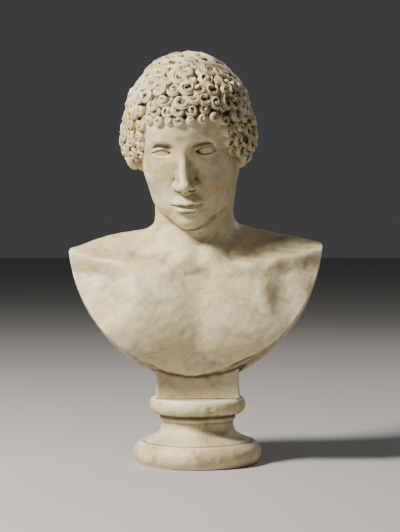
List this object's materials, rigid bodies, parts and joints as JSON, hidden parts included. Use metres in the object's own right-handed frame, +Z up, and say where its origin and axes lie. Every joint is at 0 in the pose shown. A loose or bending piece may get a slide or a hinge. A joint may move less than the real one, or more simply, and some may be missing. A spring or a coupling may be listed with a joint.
{
  "type": "plaster bust of a curly-haired youth on a turned socle",
  "caption": "Life-size plaster bust of a youth with short snail curls and bent head, the chest cut in an arc, on a square tablet and a round moulded socle.",
  "frame": {"origin": "centre of the socle's underside", "axes": "+Z up through the socle's turning axis, -Y the way the chest faces, +X toward the shoulder that stands a little higher"},
  "size_m": [0.3482, 0.2117, 0.564],
  "materials": {
    "bust_plaster": "matte",
    "socle_plaster": "matte"
  },
  "bodies": {
    "root": {"bust": "bust_plaster", "socle": "socle_plaster"}
  },
  "joints": []
}
